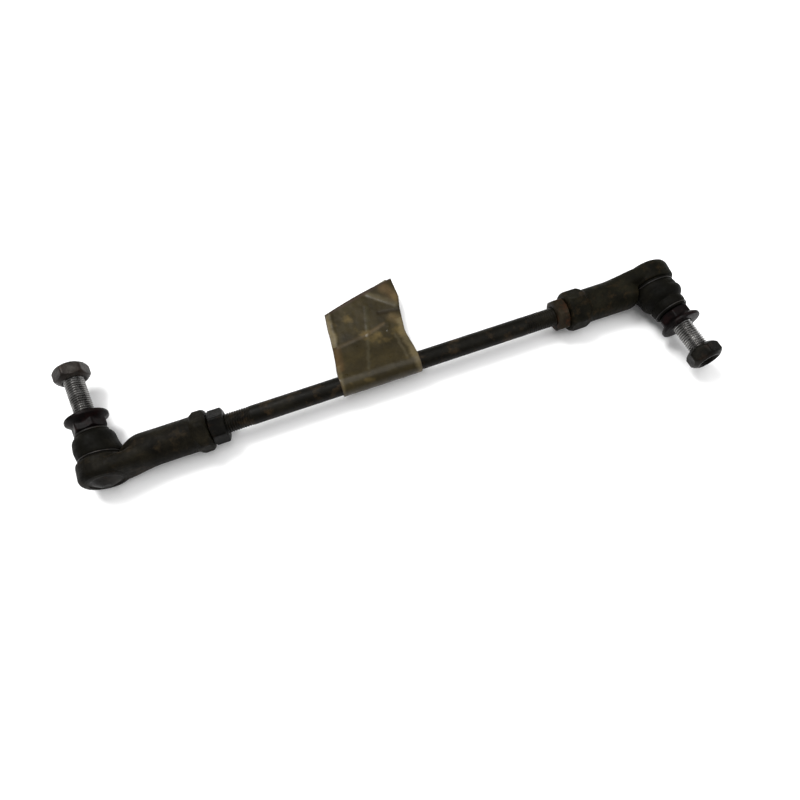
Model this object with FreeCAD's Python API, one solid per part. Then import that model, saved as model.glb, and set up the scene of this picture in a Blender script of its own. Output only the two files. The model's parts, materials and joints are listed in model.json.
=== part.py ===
"""A short adjustable tie rod: a threaded rod with an angled ball joint at each end.

The rod lies along X, 15 mm above the surface that both sockets rest on. The left ball stud points
to +Y and the right one to -Y. Each end is drawn in its own frame, with the ball's centre at the
origin, the stud's neutral direction along +Y and the rod towards +X, and is then put in place.
"""
import FreeCAD, Part
import os
from math import cos, pi, radians, sin, sqrt
from FreeCAD import Placement, Rotation, Vector

X = Vector(1, 0, 0)
Y = Vector(0, 1, 0)
Z = Vector(0, 0, 1)
ORIGIN = Vector(0, 0, 0)

# Driving dimensions, in millimetres and degrees
CENTRE_DISTANCE = 360.0     # between the two stud axes, on the rod's axis
THREAD_R = 6.0              # M12 major radius, for the rod and both studs
RUNNING_FIT = 0.03          # radial clearance of threads, ball and seats
BALL_R = 8.0
BALL_OFFSET = 4.0           # the ball's centre lies this far behind the rod's axis, away from the stud
NECK_R = 4.6
STUD_LENGTH = 63.5          # from the ball's centre to the stud's tip
EYE_R = 15.0                # the socket's round head
EYE_TOP = 5.6               # the face that the boot sits on
EYE_BOTTOM = -7.1           # the rim that is rolled over the cover plate
SHANK_R = 11.0
COLLAR_ACROSS_FLATS = 24.0
COLLAR_R = 13.1             # the collar's worn corners
SPOT_FACE_R = 14.6          # room for the boot beside the shank
SHANK_BORE_END = 25.0
ROD_TIP = 32.0              # from the stud axis to the rod's end, inside the shank
LOCK_NUT_GAP = 0.05
HEX_ACROSS_FLATS = 19.0     # plain M12 nuts
HEX_HEIGHT = 10.0           # of a full nut; the right lock nut is a thinner one
FLANGE_ACROSS_FLATS = 18.0  # M12 flange nuts
FLANGE_NUT_HEIGHT = 10.0
FLANGE_R = 12.7
FLANGE_RIM = 2.4
WIRE_R = 0.45               # the two wire rings that hold the boot
LABEL_SLOPE = 4.0           # the label's flap droops this much below the rod's level
LABEL_SPAN = (-33.5, 18.2)  # of the wrap along the rod
LABEL_THICK = 1.0
PAPER_THICK = 0.4

# Each end: where its stud leans (outward and up), where its two nuts stand on the stud, given by
# the inner face of each, and where along the shank its shoulder and its collar run
ENDS = {
    "left": dict(turn=0.0, lean_out=5.1, lean_up=5.5, flange_nut=25.3, end_nut=60.0,
                 end_twist=18.5, lock_twist=22.0, lock_height=HEX_HEIGHT,
                 shoulder=(15.0, 24.5), collar=(55.0, 64.7), boot="squashed"),
    "right": dict(turn=180.0, lean_out=5.9, lean_up=2.5, flange_nut=28.4, end_nut=56.8,
                  end_twist=-21.0, lock_twist=8.0, lock_height=8.0,
                  shoulder=(12.0, 19.5), collar=(48.0, 62.0), boot="relaxed"),
}


def outline(points):
    """A closed wire in the XY plane. A pair of points in a list is an arc's middle and end."""
    edges = []
    here = first = Vector(points[0][0], points[0][1], 0)
    for item in points[1:] + [points[0]]:
        if isinstance(item, list):
            middle = Vector(item[0][0], item[0][1], 0)
            there = Vector(item[1][0], item[1][1], 0)
            edges.append(Part.Arc(here, middle, there).toShape())
        else:
            there = Vector(item[0], item[1], 0)
            if there.distanceToPoint(here) > 1e-6:
                edges.append(Part.LineSegment(here, there).toShape())
        here = there
    assert here.distanceToPoint(first) < 1e-6
    return Part.Wire(edges)


def turned(points):
    """A solid of revolution about Y from an outline given as (radius, height) points."""
    return Part.Face(outline(points)).revolve(ORIGIN, Y, 360)


def tube(inner, outer, low, high):
    """A round sleeve about Y."""
    return turned([(inner, low), (outer, low), (outer, high), (inner, high)])


def along_x(shape):
    """Turns a shape that was drawn about +Y so that it lies about +X."""
    moved = shape.copy()
    moved.rotate(ORIGIN, Z, -90)
    return moved


def hexagon(across_flats, low, high):
    """A hexagonal prism about Y, with two of its flats square to Z."""
    corner = across_flats / sqrt(3)
    ring = [Vector(corner * cos(k * pi / 3), low, corner * sin(k * pi / 3)) for k in range(7)]
    return Part.Face(Part.makePolygon(ring)).extrude(Vector(0, high - low, 0))


def barrel(across_flats, low, high, drop_low, drop_high):
    """The turned body whose cones take the sharp corners off a hexagon's two ends."""
    corner = across_flats / sqrt(3) + 0.5
    flat = across_flats / 2 * 0.97
    return turned([(0, low), (flat, low), (corner, low + drop_low), (corner, high - drop_high),
                   (flat, high), (0, high)])


def bored(shape, radius, low, high, sink=0.8):
    """Cuts a threaded hole about Y, with a countersink at each mouth."""
    cutter = turned([(0, low - 1), (radius + sink + 1, low - 1), (radius, low + sink),
                     (radius, high - sink), (radius + sink + 1, high + 1), (0, high + 1)])
    return shape.cut(cutter)


def plain_nut(height, twist):
    """A plain M12 hexagon nut about Y, from 0 to its height, turned by its twist."""
    drop = 1.7
    body = hexagon(HEX_ACROSS_FLATS, 0, height)
    body = body.common(barrel(HEX_ACROSS_FLATS, 0, height, drop, drop))
    body = bored(body, THREAD_R + RUNNING_FIT, 0, height)
    body.rotate(ORIGIN, Y, twist)
    return body


def flange_nut():
    """An M12 flange nut about Y, from 0 to its height, with its flange at the outer end."""
    top = FLANGE_NUT_HEIGHT
    body = hexagon(FLANGE_ACROSS_FLATS, 0, top)
    body = body.common(barrel(FLANGE_ACROSS_FLATS, 0, top, 1.6, 0.4))
    flange = turned([(0, top - 5.5), (9.6, top - 5.5), (FLANGE_R - 0.4, top - FLANGE_RIM),
                     (FLANGE_R, top - FLANGE_RIM + 0.4), (FLANGE_R, top - 0.4),
                     (FLANGE_R - 0.4, top), (0, top)])
    return bored(body.fuse(flange).removeSplitter(), THREAD_R + RUNNING_FIT, 0, top)


def ring_of_points(x, half_width, low, high, corner):
    """A 16-sided wire at a station along X: a box in Y and Z whose corners are rounded off."""
    mid = (low + high) / 2
    points = []
    for k in range(16):
        angle = (k + 0.5) * pi / 8
        away = max(abs(cos(angle)), abs(sin(angle)))
        square = Vector(x, mid + (high - low) / 2 * sin(angle) / away, half_width * cos(angle) / away)
        round_one = Vector(x, mid + (high - low) / 2 * sin(angle), half_width * cos(angle))
        points.append(square.multiply(1 - corner).add(round_one.multiply(corner)))
    return Part.makePolygon(points + points[:1])


def socket(shoulder, collar_span):
    """The forged head, shank and hexagonal collar, with the ball's chamber and the rod's bore."""
    lip = 0.4
    low = EYE_BOTTOM - lip
    corner = 4.0
    cone = 0.3 * corner
    eye = turned([(0, low), (EYE_R - corner, low), (EYE_R - cone, low + cone), (EYE_R, low + corner),
                  (EYE_R, EYE_TOP - 0.8), (EYE_R - 0.8, EYE_TOP), (0, EYE_TOP)])
    start, full = shoulder
    bulge = (0.9 * SHANK_R, start + 0.4 * (full - start))
    collar_start, collar_end = collar_span
    shank = along_x(turned([(0, 8), (4.5, 8), (7.6, start), [bulge, (SHANK_R, full)],
                            (SHANK_R, collar_end - 3.5), (0, collar_end - 3.5)]))
    worn = turned([(0, collar_start), (SHANK_R, collar_start), (COLLAR_R, collar_start + 3.0),
                   (COLLAR_R, collar_end - 3.2), (COLLAR_R - 0.9, collar_end - 1.1),
                   (COLLAR_R - 2.6, collar_end), (0, collar_end)])
    collar = along_x(hexagon(COLLAR_ACROSS_FLATS, collar_start, collar_end).common(worn))
    for piece in (shank, collar):
        piece.translate(Vector(0, BALL_OFFSET, 0))
    spot_face = Part.makeCylinder(SPOT_FACE_R, 30, Vector(0, EYE_TOP, 0), Y)
    web = Part.makeLoft([ring_of_points(2, 14.5, EYE_BOTTOM - lip + 0.2, EYE_TOP - 0.3, 0.45),
                         ring_of_points(26, SHANK_R - 0.3, BALL_OFFSET - SHANK_R + 0.15,
                                        BALL_OFFSET + SHANK_R - 0.3, 1)], True, True)
    body = eye.fuse([shank.cut(spot_face), collar, web.cut(spot_face)]).removeSplitter()
    spigot = turned([(8.7, EYE_TOP - 1), (11.4, EYE_TOP - 1), (11.4, EYE_TOP + 2.0),
                     (8.7, EYE_TOP + 2.0)])
    body = body.fuse(spigot).removeSplitter()
    chamber = turned([(0, EYE_BOTTOM - 1), (9.7, EYE_BOTTOM - 1), (9.7, EYE_BOTTOM),
                      (10.45, EYE_BOTTOM), (10.45, -5.8), (9.6, -5.8), (9.6, 3.4), (7.35, 3.4),
                      (7.35, 5.2), (8.7, 6.8), (8.7, 9), (0, 9)])
    bore = turned([(0, SHANK_BORE_END - 3), (THREAD_R + RUNNING_FIT, SHANK_BORE_END),
                   (THREAD_R + RUNNING_FIT, collar_end - 1), (THREAD_R + 1.6, collar_end + 0.6),
                   (0, collar_end + 0.6)])
    bore = along_x(bore)
    bore.translate(Vector(0, BALL_OFFSET, 0))
    return body.cut(chamber).cut(bore)


def cover_plate():
    """The domed plate that closes the socket under the ball."""
    dome = Part.makeSphere(10.35)
    below = Part.makeBox(30, 20, 30, Vector(-15, -20 - 5.8, -15))
    plate = dome.common(below).fuse(Part.makeCylinder(10.4, 1.2, Vector(0, EYE_BOTTOM + 0.05, 0), Y))
    return plate.cut(Part.makeSphere(9.15)).removeSplitter()


def upper_seat():
    """The plastic shell over the ball's upper half."""
    body = tube(7.35, 9.55, 0.15, 3.35)
    body = body.fuse(tube(0, 9.55, 0.15, 2.6))
    return body.cut(Part.makeSphere(BALL_R + RUNNING_FIT)).removeSplitter()


def lower_seat():
    """The plastic cup under the ball."""
    cup = Part.makeSphere(9.1).common(Part.makeBox(30, 20, 30, Vector(-15, -20 - 0.15, -15)))
    cup = cup.fuse(tube(0, 9.55, -4.8, -0.15))
    return cup.cut(Part.makeSphere(BALL_R + RUNNING_FIT)).removeSplitter()


def preload_ring():
    """The dished spring washer that presses the lower cup against the ball."""
    return turned([(7.9, -5.35), (9.5, -5.75), (9.5, -5.25), (7.9, -4.85)])


def ball_stud():
    """The ball, its neck, the plain grip and the threaded stud."""
    shaft = turned([(0, 0), (NECK_R + 0.8, 0), (NECK_R + 0.8, 6.2), (NECK_R, 7.4), (NECK_R, 11.0),
                    (THREAD_R, 13.4), (THREAD_R, STUD_LENGTH - 1.2), (THREAD_R - 1.2, STUD_LENGTH),
                    (0, STUD_LENGTH)])
    return Part.makeSphere(BALL_R).fuse(shaft).removeSplitter()


def on_sphere(radius, degrees):
    """The (radius, height) point of a sphere about the ball's centre, by its angle from +Y."""
    return (radius * sin(radians(degrees)), radius * cos(radians(degrees)))


# The boots' necks above the spherical band, as (radius, height) points from the band's outer edge
# to its inner edge, and where each neck's wire ring sits. The left boot is squashed down by its
# nut and the right one stands at its free height.
BOOT_NECKS = {
    "squashed": [[(13.1, 15.2), (12.7, 18.0)], [(12.2, 20.8), (10.9, 22.3)], (9.9, 23.0), (9.6, 23.6),
                 (9.0, 23.7), (9.0, 24.5), (9.6, 24.6), (9.5, 24.95), (6.03, 24.95), (6.03, 22.0),
                 (10.2, 20.8)],
    "relaxed": [[(13.75, 15.2), (13.3, 17.6)], [(12.2, 19.6), (10.8, 20.6)], [(11.1, 22.5), (11.0, 24.2)],
                (10.4, 26.2), (9.8, 26.3), (9.8, 27.2), (10.4, 27.3), (9.9, 28.05), (6.03, 28.05),
                (6.03, 25.0), (9.1, 23.0), (9.1, 20.3), (11.0, 18.2)],
}
NECK_RINGS = {"squashed": (9.48, 24.1), "relaxed": (10.28, 26.75)}


def boot(lean, form):
    """The rubber boot. Its skirt stands square on the socket and its neck follows the stud.

    The two meet on a spherical band about the ball's centre, so they join at any lean.
    """
    outer = 18.4
    inner = 16.9
    skirt = turned([(11.45, EYE_TOP + 0.05), (13.3, EYE_TOP + 0.05), (13.3, 6.5), (12.5, 6.6),
                    (12.5, 7.8), (13.3, 7.9), on_sphere(outer, 48),
                    [on_sphere(outer, 44), on_sphere(outer, 40)], on_sphere(inner, 40),
                    [on_sphere(inner, 44), on_sphere(inner, 48)], (11.45, 8.4)])
    neck = turned([on_sphere(inner, 46), on_sphere(outer, 46)] + BOOT_NECKS[form]
                  + [on_sphere(inner, 38), [on_sphere(inner, 42), on_sphere(inner, 46)]])
    neck.Placement = lean
    return skirt.fuse(neck)


def wire_ring(radius, height):
    """A round wire ring about Y."""
    return Part.makeTorus(radius, WIRE_R, Vector(0, height, 0), Y)


def lock_nut(height, twist, collar_end):
    """The plain nut that locks the rod against the collar, about X."""
    nut = along_x(plain_nut(height, twist))
    nut.translate(Vector(collar_end + LOCK_NUT_GAP, BALL_OFFSET, 0))
    return nut


def tie_rod():
    """The rod, threaded at both ends, on its own axis."""
    half = CENTRE_DISTANCE / 2 - ROD_TIP
    return along_x(turned([(0, -half), (THREAD_R - 1, -half), (THREAD_R, 1 - half),
                           (THREAD_R, half - 1), (THREAD_R - 1, half), (0, half)]))


# The label's flap, as (along the rod, away from the rod) corners, before it droops
FLAP = [(-33, 0), (18, 0), (17.3, 23.2), (20.1, 41.4), (22.4, 49.6), (22.2, 65.6), (-27.7, 52.9),
        (-29.8, 34.6)]
FLAP_START = 5.0            # the flap's root, buried in the wrap
PAPER_MARGIN = 3.5          # clear tape left around the paper


def flap_plate(inset, start, thickness):
    """The flap's outline, drawn in by a margin on its two sides, as a plate of some thickness."""
    corners = []
    for x, away in FLAP:
        side = inset if x < 0 else -inset
        corners.append(Vector(x + side, max(away, start), -thickness / 2))
    return Part.Face(Part.makePolygon(corners + corners[:1])).extrude(Vector(0, 0, thickness))


def label():
    """The paper label and the adhesive tape that is folded over it and round the rod."""
    start, end = LABEL_SPAN
    wrap = Part.makeCylinder(7.4, end - start, Vector(start, 0, 0), X)
    tape = wrap.fuse(flap_plate(0, FLAP_START, LABEL_THICK))
    tape = tape.cut(Part.makeCylinder(THREAD_R + 0.1, 60, Vector(start - 1, 0, 0), X))
    pocket = flap_plate(PAPER_MARGIN, 9.0, PAPER_THICK)
    tape = tape.cut(pocket)
    for shape in (tape, pocket):
        shape.rotate(ORIGIN, X, -LABEL_SLOPE)
    return {"label_tape": tape, "label_paper": pocket}


def end_pieces(end):
    """Every piece of one end, in the end's own frame."""
    lean = Placement(ORIGIN, Rotation(Z, end["lean_out"]) * Rotation(X, end["lean_up"]))
    on_socket = {
        "socket": socket(end["shoulder"], end["collar"]),
        "cover_plate": cover_plate(),
        "upper_seat": upper_seat(),
        "lower_seat": lower_seat(),
        "preload_ring": preload_ring(),
        "boot": boot(lean, end["boot"]),
        "boot_base_ring": wire_ring(12.98, 7.2),
        "lock_nut": lock_nut(end["lock_height"], end["lock_twist"], end["collar"][1]),
    }
    on_stud = {
        "ball_stud": ball_stud(),
        "boot_neck_ring": wire_ring(*NECK_RINGS[end["boot"]]),
        "flange_nut": flange_nut(),
        "end_nut": plain_nut(HEX_HEIGHT, end["end_twist"]),
    }
    on_stud["flange_nut"].translate(Vector(0, end["flange_nut"], 0))
    on_stud["end_nut"].translate(Vector(0, end["end_nut"], 0))
    for name, shape in on_stud.items():
        shape.Placement = lean.multiply(shape.Placement)
        on_socket[name] = shape
    return on_socket


def place_end(shape, turn):
    """Moves a piece from its end's frame to its place on the rod."""
    placed = shape.copy()
    placed.rotate(ORIGIN, Z, turn)
    sign = 1 if turn == 0 else -1
    placed.translate(Vector(-sign * CENTRE_DISTANCE / 2, -sign * BALL_OFFSET, EYE_R))
    return placed


os.makedirs("parts", exist_ok=True)
nodes = {"tie_rod": tie_rod()}
nodes.update(label())
for shape in nodes.values():
    shape.translate(Vector(0, 0, EYE_R))
for side, end in ENDS.items():
    for name, shape in end_pieces(end).items():
        nodes[side + "_" + name] = place_end(shape, end["turn"])
for name, shape in nodes.items():
    assert shape.isValid(), name
    shape.exportStep("parts/" + name + ".step")
    box = shape.BoundBox
    print(f"{name:24s} solids {len(shape.Solids)} volume {shape.Volume:9.1f} "
          f"x {box.XMin:7.1f} {box.XMax:7.1f} y {box.YMin:6.1f} {box.YMax:6.1f} "
          f"z {box.ZMin:5.1f} {box.ZMax:5.1f}")
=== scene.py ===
import json
from math import atan2, ceil, cos, hypot, pi, radians, sin, sqrt

import bmesh
import bpy
from mathutils import Matrix, Vector, noise


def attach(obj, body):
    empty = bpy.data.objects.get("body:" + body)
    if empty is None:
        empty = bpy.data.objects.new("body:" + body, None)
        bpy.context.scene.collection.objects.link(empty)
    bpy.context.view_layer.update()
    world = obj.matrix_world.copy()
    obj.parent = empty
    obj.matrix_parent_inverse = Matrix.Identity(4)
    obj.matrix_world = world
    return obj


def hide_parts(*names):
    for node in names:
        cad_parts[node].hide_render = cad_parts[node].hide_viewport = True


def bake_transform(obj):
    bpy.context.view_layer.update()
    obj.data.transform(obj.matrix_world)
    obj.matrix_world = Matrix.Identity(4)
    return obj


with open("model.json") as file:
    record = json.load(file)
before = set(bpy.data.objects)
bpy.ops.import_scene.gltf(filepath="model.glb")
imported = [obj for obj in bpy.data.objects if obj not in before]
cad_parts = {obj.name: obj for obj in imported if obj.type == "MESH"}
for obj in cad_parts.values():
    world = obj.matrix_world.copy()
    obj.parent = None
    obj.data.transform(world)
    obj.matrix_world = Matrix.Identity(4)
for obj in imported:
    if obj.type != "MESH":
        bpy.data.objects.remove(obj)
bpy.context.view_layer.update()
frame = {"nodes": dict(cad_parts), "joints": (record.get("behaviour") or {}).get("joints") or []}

MM = 0.001
SIDES = ("left", "right")
BALL_OFFSET = 4.0                       # mm, from the rod's axis to each ball, away from the stud
AXIS_Z = 15.0                           # mm, the rod's height over the floor
THREAD_R = 6.0
PITCH = 1.5
THREAD_STEPS = 8                        # rings of a threaded mesh in one pitch
UNBOUNDED = 900.0                       # mm, further than any part of the object
HEX_FLATS = 19.0                        # across the flats of the plain M12 nuts
FLANGE_FLATS = 18.0
WITHIN_FLANGE = 10.42                   # mm, just past the flange nut's hexagon corners
FLANGE = (12.7, 2.4)                    # the flange nuts' flange: radius and rim thickness
COLLAR_FLATS = 24.0
COLLAR_CORNER_R = 13.1                  # the collar's worn corners

joints = {j["name"]: j for j in frame["joints"]}


# --------------------------------------------------------------------------- frames of reference
def end_matrix(side):
    """The end's own frame in mm: the ball at the origin, the rod towards +X, the stud near +Y."""
    at = Vector(joints[side + "_stud_swing"]["pos_m"])
    turn = Matrix.Rotation(0 if side == "left" else pi, 4, "Z")
    return Matrix.Translation(at) @ turn @ Matrix.Scale(MM, 4)


def stud_matrix(side):
    """The stud's own frame in mm: the ball at the origin and the stud along +Z."""
    joint = joints[side + "_stud_spin"]
    axis = Vector(joint["axis"]).normalized()
    across = Vector((0, 0, 1)).cross(axis).normalized()
    turn = Matrix((across, axis.cross(across), axis)).transposed().to_4x4()
    return Matrix.Translation(Vector(joint["pos_m"])) @ turn @ Matrix.Scale(MM, 4)


def rod_matrix(side, x):
    """A frame in mm on the rod's axis at x (in the end's own frame), with +Z away from the ball."""
    return end_matrix(side) @ Matrix.Translation((x, BALL_OFFSET, 0)) @ Matrix.Rotation(pi / 2, 4, "Y")


def along(node, matrix):
    """Lowest and highest place of a CAD node along a frame's Z, in mm."""
    to_local = matrix.inverted()
    heights = [(to_local @ v.co).z for v in frame["nodes"][node].data.vertices]
    return min(heights), max(heights)


# --------------------------------------------------------------------------- mesh helpers
def linked(name, data):
    """A new object in the scene."""
    obj = bpy.data.objects.new(name, data)
    bpy.context.scene.collection.objects.link(obj)
    return obj


def smoothed(mesh, angle):
    for polygon in mesh.polygons:
        polygon.use_smooth = True
    mesh.set_sharp_from_angle(angle=radians(angle))


def add_object(name, mesh, matrix, smooth_angle=35):
    """A new piece from a mesh in mm, put in place by a matrix and smoothed."""
    mesh.transform(matrix)
    smoothed(mesh, smooth_angle)
    return linked(name, mesh)


def grid_mesh(name, rings, closed_ends=(False, False), loop=False):
    """A mesh from rings of points, each ring closed on itself. A loop joins the last to the first."""
    mesh = bpy.data.meshes.new(name)
    count = len(rings[0])
    points = [p for ring in rings for p in ring]
    faces = []
    for i in range(len(rings) if loop else len(rings) - 1):
        after = (i + 1) % len(rings)
        for j in range(count):
            k = (j + 1) % count
            faces.append((i * count + j, i * count + k, after * count + k, after * count + j))
    if closed_ends[0]:
        points.append(sum((Vector(p) for p in rings[0]), Vector()) / count)
        faces += [((j + 1) % count, j, len(points) - 1) for j in range(count)]
    if closed_ends[1]:
        base = (len(rings) - 1) * count
        points.append(sum((Vector(p) for p in rings[-1]), Vector()) / count)
        faces += [(base + j, base + (j + 1) % count, len(points) - 1) for j in range(count)]
    mesh.from_pydata([tuple(p) for p in points], [], faces)
    mesh.update()
    tidy = bmesh.new()
    tidy.from_mesh(mesh)
    bmesh.ops.recalc_face_normals(tidy, faces=tidy.faces)
    tidy.to_mesh(mesh)
    tidy.free()
    return mesh


def lathe(name, profile, count=96, **kwargs):
    """Turns (radius, height) points about Z."""
    rings = []
    for r, h in profile:
        ring = []
        for j in range(count):
            a = 2 * pi * j / count
            ring.append((r * cos(a), r * sin(a), h))
        rings.append(ring)
    return grid_mesh(name, rings, **kwargs)


def smooth_profile(points, step=0.5, rounds=2):
    """Rounds off a chain of (radius, height) points and divides it evenly."""
    for _ in range(rounds):
        cut = [points[0]]
        for (ar, ah), (br, bh) in zip(points, points[1:]):
            cut.append((ar * 0.75 + br * 0.25, ah * 0.75 + bh * 0.25))
            cut.append((ar * 0.25 + br * 0.75, ah * 0.25 + bh * 0.75))
        points = cut + [points[-1]]
    out = [points[0]]
    for (ar, ah), (br, bh) in zip(points, points[1:]):
        parts = max(1, ceil(hypot(br - ar, bh - ah) / step))
        for k in range(1, parts + 1):
            out.append((ar + (br - ar) * k / parts, ah + (bh - ah) * k / parts))
    return out


def thread_radius(phase, major, depth):
    """An M thread's radius by its phase from 0 to 1: a worn crest, two flanks and a root."""
    p = abs((phase % 1.0) - 0.5) * 2
    crest = 0.20
    root = 0.78
    if p < crest:
        return major - depth * 0.06 * (p / crest) ** 2
    if p > root:
        return major - depth
    t = (p - crest) / (root - crest)
    return major - depth * (0.06 + 0.94 * t)


def threaded_rings(low, high, major, chamfer_low, chamfer_high, hand, plain, depth, columns):
    """Rings of points for a threaded bar about Z from low to high, in mm.

    hand is 1 for a right-hand thread and -1 for a left-hand one. plain is the stretch (from, to)
    without a thread, and the thread fades out over a turn and a half beside it.
    """
    rings = []
    first = int(low / PITCH * THREAD_STEPS) - THREAD_STEPS
    last = int(high / PITCH * THREAD_STEPS) + THREAD_STEPS
    for i in range(first, last + 1):
        ring = []
        for j in range(columns):
            a = 2 * pi * j / columns
            h = (i / THREAD_STEPS + hand * j / columns) * PITCH
            z = min(max(h, low), high)
            away = max(plain[0] - z, z - plain[1])
            cut = min(1.0, max(0.0, away / (1.5 * PITCH)))
            r = major + (thread_radius(i / THREAD_STEPS, major, depth) - major) * cut
            r -= 0.02 * noise.noise((cos(a) * 2, sin(a) * 2, z * 0.8)) * cut
            r = min(r, major - chamfer_low + max(0.0, z - low),
                    major - chamfer_high + max(0.0, high - z))
            ring.append((r * cos(a), r * sin(a), z))
        rings.append(ring)
    return rings


def threaded_mesh(name, low, high, major, chamfer_low, chamfer_high, hand, plain, depth=0.86):
    """A closed threaded bar. The columns are joined with a one-pitch step where they close."""
    columns = 64
    rings = threaded_rings(low, high, major, chamfer_low, chamfer_high, hand, plain, depth, columns)
    count = len(rings)
    points = [p for ring in rings for p in ring]
    faces = []
    for i in range(count - 1):
        for j in range(columns):
            k = (j + 1) % columns
            shift = THREAD_STEPS * hand if k == 0 else 0
            a, b = i + shift, i + 1 + shift
            if 0 <= a < count and 0 <= b < count:
                faces.append((i * columns + j, a * columns + k, b * columns + k, (i + 1) * columns + j))
    mesh = bpy.data.meshes.new(name)
    mesh.from_pydata(points, [], faces)
    tidy = bmesh.new()
    tidy.from_mesh(mesh)
    bmesh.ops.remove_doubles(tidy, verts=tidy.verts, dist=1e-5)
    bmesh.ops.dissolve_degenerate(tidy, edges=tidy.edges, dist=1e-6)
    for at in (low, high):
        doomed = [f for f in tidy.faces if all(abs(v.co.z - at) < 1e-4 for v in f.verts)]
        bmesh.ops.delete(tidy, geom=doomed, context="FACES")
    loose = [v for v in tidy.verts if not v.link_faces]
    bmesh.ops.delete(tidy, geom=loose, context="VERTS")
    bmesh.ops.holes_fill(tidy, edges=[e for e in tidy.edges if e.is_boundary], sides=0)
    bmesh.ops.recalc_face_normals(tidy, faces=tidy.faces)
    tidy.to_mesh(mesh)
    tidy.free()
    return mesh


def hex_radius(angle, flats, corner_round):
    """The outline of a hexagon with rounded corners, by angle from a corner."""
    a = (angle + pi / 6) % (pi / 3) - pi / 6
    flat = flats / 2 / cos(pi / 6 - abs(a))
    limit = flats / 2 / cos(pi / 6) - corner_round
    return min(flat, limit + (flat - limit) * 0.25) if flat > limit else flat


def hex_nut_mesh(name, height, flats, corner_at, flange=None, worn=1.7):
    """A hexagonal nut about Z from 0 to height, with rounded ends, countersinks and a thread.

    flange is (radius, rim thickness) of a flange at the high end. worn is how far down the corners
    are rounded off.
    """
    columns = 144
    bore = THREAD_R - 0.62
    half = flats / 2

    def skin(a, h):
        r = hex_radius(a - corner_at, flats, 0.28)
        corner = flats / 2 / cos(pi / 6)
        face = half * (0.97 - 0.05 * worn)
        free = h if flange else min(h, height - h)
        if free < worn:
            r = min(r, corner - (corner - face) * (1 - free / worn) ** 1.7)
        if flange:
            radius, rim = flange
            start = height - 5.6
            if h > start:
                t = (h - start) / (height - rim - start)
                cone = 9.0 + (radius - 0.5 - 9.0) * min(1.0, t) ** 1.35
                if h > height - rim:
                    edge = (h - (height - rim)) / rim
                    cone = radius - 0.45 * (2 * edge - 1) ** 4
                r = max(r, cone)
        return r

    levels = [0.0, 0.06, 0.15, 0.3, 0.5, 0.7, 0.95, 1.25, 1.6, 2.0]
    inner_levels = [2.0 + (height - 4.0) * k / 14 for k in range(1, 14)]
    heights = levels + inner_levels + [height - v for v in reversed(levels)]
    rings = []
    for h in heights:
        ring = []
        for j in range(columns):
            a = 2 * pi * j / columns
            r = skin(a, h)
            edge = min(h, height - h)
            r -= max(0.0, 0.12 - edge) * 0.9
            ring.append((r * cos(a), r * sin(a), h))
        rings.append(ring)
    sink = 1.0
    face = [half * 0.80, THREAD_R + sink * 0.75, THREAD_R + 0.25]
    drop = [0.0, 0.0, sink * 0.6]

    def flat_ring(r, h):
        return [(r * cos(2 * pi * j / columns), r * sin(2 * pi * j / columns), h) for j in range(columns)]

    for r, d in zip(face, drop):
        rings.append(flat_ring(r, height - d))
    turns = 10
    bore_steps = int((height - 2 * sink) / PITCH * turns)
    for i in range(bore_steps + 1):
        h = height - sink - (height - 2 * sink) * i / bore_steps
        ring = []
        for j in range(columns):
            a = 2 * pi * j / columns
            phase = (h / PITCH - j / columns) % 1.0
            r = bore + 0.55 * abs(2 * phase - 1)
            ring.append((r * cos(a), r * sin(a), h))
        rings.append(ring)
    for r, d in reversed(list(zip(face, drop))):
        rings.append(flat_ring(r, d))
    return grid_mesh(name, rings, loop=True)


def remeshed(name, parts, voxel, smooth):
    """One watertight skin over several closed meshes, in mm, with its edges softened."""
    joined = bmesh.new()
    for part in parts:
        joined.from_mesh(part)
        bpy.data.meshes.remove(part)
    mesh = bpy.data.meshes.new(name)
    joined.to_mesh(mesh)
    joined.free()
    obj = linked(name + "_work", mesh)
    shell = obj.modifiers.new("remesh", "REMESH")
    shell.mode = "VOXEL"
    shell.voxel_size = voxel
    soften = obj.modifiers.new("soften", "SMOOTH")
    soften.factor = 0.5
    soften.iterations = smooth
    done = bpy.data.meshes.new_from_object(obj.evaluated_get(bpy.context.evaluated_depsgraph_get()))
    bpy.data.objects.remove(obj)
    bpy.data.meshes.remove(mesh)
    done.name = name
    return done


def roughen(mesh, amount, scale, seed):
    """Pushes points inward by uneven noise, as the scale of a forging does. Never outward."""
    shift = Vector((seed * 13.7, seed * 5.3, seed * 9.1))
    normals = [v.normal.copy() for v in mesh.vertices]
    for v, n in zip(mesh.vertices, normals):
        wide = noise.noise(v.co * scale + shift)
        fine = noise.noise(v.co * scale * 4.3 + shift)
        depth = amount * (0.5 + 0.4 * wide + 0.25 * fine)
        v.co -= n * max(0.0, depth)
    mesh.update()


# --------------------------------------------------------------------------- materials
def grey(value):
    return (value, value, value)


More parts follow.
